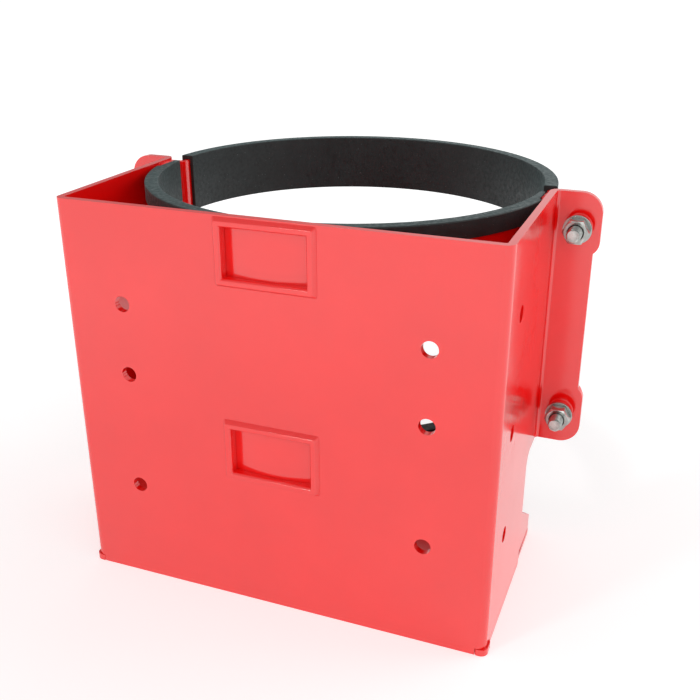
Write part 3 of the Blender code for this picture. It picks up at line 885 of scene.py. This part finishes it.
def make_nut(name, body, side, z):
    """Hex nut, its corners chamfered at both faces, its bore countersunk."""
    x = side * BOLT_X
    start, end = (corner[1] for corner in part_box(name))
    nut = new_object(name + "_hex", hex_prism(x, z, start, end))
    barrel = turned(x, z, [
        (HEX_FACE, start), (HEX_TURNED, start + HEX_DROP),
        (HEX_TURNED, end - HEX_DROP), (HEX_FACE, end),
    ])
    carve(nut, [barrel], "INTERSECT")
    over = 0.2 * MM
    sink = SHANK + HEX_SINK + over
    hole = SHANK + 0.25 * MM
    bore = turned(x, z, [
        (sink, start - over), (hole, start + HEX_SINK), (hole, end - HEX_SINK), (sink, end + over),
    ])
    carve(nut, [bore])
    round_edges(nut, HEX_EDGE, 25, 2)
    finish_piece(nut, ZINC, body, "zinc_steel", name)


def make_washer(name, body, side, z):
    start, end = (corner[1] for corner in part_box(name))
    radius = WASHER_RADIUS
    profile = [(radius, start), (radius, end), (CLEARANCE, end), (CLEARANCE, start)]
    washer = new_object(name + "_disc", turned(side * BOLT_X, z, profile, 64, closed=True))
    round_edges(washer, WASHER_EDGE)
    finish_piece(washer, ZINC, body, "zinc_steel", name)


def thread_rings(x, z, start, end):
    """A thread from the tip back to the plain shank, as rings of points."""
    steps = THREAD_SIDES
    rows = math.ceil((end - start) / PITCH * THREAD_ROWS)
    rings = []
    for row in range(rows + 1):
        y = start + (end - start) * row / rows
        run_out = max(0, min(1, (end - y) / (1.5 * PITCH)))
        chamfer = SHANK - max(0, TIP_CHAMFER - (y - start))
        ring = []
        for k in range(steps):
            turn = k / steps
            phase = ((y - start) / PITCH - turn) % 1
            crest = min(1, 1.35 * (1 - abs(2 * phase - 1)))
            radius = min(chamfer, SHANK - THREAD_DEPTH * (1 - crest) * run_out)
            angle = 2 * math.pi * turn
            ring.append((x + radius * math.cos(angle), y, z + radius * math.sin(angle)))
        rings.append(ring)
    return rings


def shank_ring(x, z, radius, y):
    return [(a, y, b) for a, b in arc((x, z), radius, 0, 360, THREAD_SIDES)[:-1]]


def make_bolt(name, body, side, z):
    """Threaded shank with a chamfered tip, and a chamfered hex head with a turned dish."""
    x = side * BOLT_X
    tip, head_end = (corner[1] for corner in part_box(name))
    head_start = head_end - HEAD_HEIGHT
    thread_end = EAR_FRONT - 1 * MM
    rings = [shank_ring(x, z, SHANK - TIP_CHAMFER - 0.2 * MM, tip)]
    rings += thread_rings(x, z, tip, thread_end)
    for y in (thread_end + 0.6 * MM, head_start + 1 * MM):
        rings.append(shank_ring(x, z, SHANK, y))
    shank = new_object(name + "_thread", skin_rings(rings, closed=False))
    shank.data.set_sharp_from_angle(angle=math.radians(40))
    finish_piece(shank, ZINC, body, "zinc_steel", name)
    head = new_object(name + "_head", hex_prism(x, z, head_start, head_end))
    barrel = turned(x, z, [
        (HEX_TURNED, head_start - 1 * MM), (HEX_TURNED, head_end - HEX_DROP), (HEX_FACE, head_end),
    ])
    carve(head, [barrel], "INTERSECT")
    dish = turned(x, z, [
        (HEX_FLATS / 2 * 0.72, head_end - 0.5 * MM), (HEX_FLATS / 2 * 0.8, head_end + 0.5 * MM),
    ])
    carve(head, [dish])
    round_edges(head, HEX_EDGE, 25, 2)
    finish_piece(head, ZINC, body, "zinc_steel")


def make_hardware():
    for level, z in LEVELS.items():
        clamp = level + "_clamp"
        for side_name, side in SIDES:
            tag = "%s_%s" % (level, side_name)
            make_bolt("bolt_" + tag, clamp, side, z)
            make_nut("nut_" + tag, tag + "_nut", side, z)
            make_boss("boss_" + tag, side, z)
            make_washer("front_washer_" + tag, "frame", side, z)
            make_washer("rear_washer_" + tag, clamp, side, z)


# --- Stage -------------------------------------------------------------------------------

CAMERA_PLACE = Vector((0.2936, -0.6799, 0.5222))
CAMERA_AZIMUTH = 21.01
CAMERA_ELEVATION = 23.22
CAMERA_ROLL = 0.08
CAMERA_LENS = 47.37
FLOOR_HALF = 60
FLOOR_COLOR = (0.78, 0.78, 0.78, 1)
WHITE = (1, 1, 1, 1)
LIGHTS = (  # name, place, aim, size, watts
    ("key", (0.9, -1.9, 1.5), (0, 0, 0.15), (1.6, 1.2), 6),
    ("sparkle", (-0.8, -1.4, 2.1), (0, -0.1, 0.2), (0.25, 0.25), 6),
    ("rim", (1.6, 0.9, 1.4), (0, 0.05, 0.2), (1.2, 1.2), 8),
)


def make_camera():
    data = bpy.data.cameras.new("camera")
    data.lens = CAMERA_LENS
    data.sensor_width = 36
    data.clip_start = 0.01
    camera = bpy.data.objects.new("camera", data)
    bpy.context.scene.collection.objects.link(camera)
    azimuth = math.radians(CAMERA_AZIMUTH)
    elevation = math.radians(CAMERA_ELEVATION)
    back = Vector((
        math.sin(azimuth) * math.cos(elevation),
        -math.cos(azimuth) * math.cos(elevation),
        math.sin(elevation),
    ))
    right = Vector((0, 0, 1)).cross(back).normalized()
    up = back.cross(right)
    turn = Matrix((right, up, back)).transposed().to_4x4()
    roll = Matrix.Rotation(math.radians(CAMERA_ROLL), 4, "Z")
    camera.matrix_world = Matrix.Translation(CAMERA_PLACE) @ turn @ roll
    bpy.context.scene.camera = camera


def area_light(name, place, aim, size, power):
    data = bpy.data.lights.new(name, "AREA")
    data.shape = "RECTANGLE"
    data.size, data.size_y = size
    data.energy = power
    light = bpy.data.objects.new(name, data)
    bpy.context.scene.collection.objects.link(light)
    light.location = place
    light.rotation_euler = (Vector(aim) - Vector(place)).to_track_quat("-Z", "Y").to_euler()


def painted_floor_glow(tree):
    """Painted light: the floor glows though it is no lamp, with painted shade under and round the
    object and a brighter glow further out.
    """
    place = tree.nodes.new("ShaderNodeTexCoord")
    length = tree.nodes.new("ShaderNodeVectorMath")
    length.operation = "LENGTH"
    tree.links.new(place.outputs["Object"], length.inputs[0])
    return map_range(tree, length.outputs["Value"], 0.35, 0.95, 0.42, 0.58)


def sky_strength(tree, target):
    """A soft sky: brighter low down than overhead, and dimmer at the back left.

    The dimming stops short of the horizon, which stays white behind the floor.
    """
    place = tree.nodes.new("ShaderNodeTexCoord")
    split = tree.nodes.new("ShaderNodeSeparateXYZ")
    tree.links.new(place.outputs["Generated"], split.inputs["Vector"])
    x, y, z = (split.outputs[name] for name in "XYZ")
    height = map_range(tree, z, 0.1, 0.95, 1.05, 0.5)
    left = map_range(tree, x, -0.50, -0.10, 0.65, 0.0)
    back = map_range(tree, y, 0.0, 0.4, 0.0, 1.0)
    lift = map_range(tree, z, 0.10, 0.20, 0.0, 1.0)
    dim = calculate(tree, "MULTIPLY", calculate(tree, "MULTIPLY", left, back), lift)
    light = calculate(tree, "SUBTRACT", 1.0, dim)
    tree.links.new(calculate(tree, "MULTIPLY", height, light), target)


def make_floor():
    bm = bmesh.new()
    bmesh.ops.create_grid(bm, x_segments=1, y_segments=1, size=FLOOR_HALF)
    floor = new_object("floor", bm)
    floor.location.z = -0.2 * MM
    material = bpy.data.materials.new("pale_floor")
    material.use_nodes = True
    tree = material.node_tree
    inputs = tree.nodes["Principled BSDF"].inputs
    inputs["Base Color"].default_value = FLOOR_COLOR
    inputs["Roughness"].default_value = 0.9
    inputs["Specular IOR Level"].default_value = 0.1
    inputs["Emission Color"].default_value = WHITE
    # The floor's emission is painted light, dimmed near the object as painted shade.
    tree.links.new(painted_floor_glow(tree), inputs["Emission Strength"])
    floor.data.materials.append(material)


def make_stage():
    make_floor()
    world = bpy.data.worlds.new("soft_white")
    world.use_nodes = True
    background = world.node_tree.nodes["Background"]
    background.inputs["Color"].default_value = WHITE
    sky_strength(world.node_tree, background.inputs["Strength"])
    bpy.context.scene.world = world
    for light in LIGHTS:
        area_light(*light)
    bpy.context.scene.view_settings.view_transform = "Standard"


make_camera()
make_stage()
make_body()
make_base()
for level_name, level_z in LEVELS.items():
    make_tube(level_name, level_z)
    make_front_band(level_name, level_z)
    make_rear_band(level_name, level_z)
    make_rear_rubber(level_name, level_z)
    make_front_rubber(level_name, level_z)
make_welds()
make_hardware()
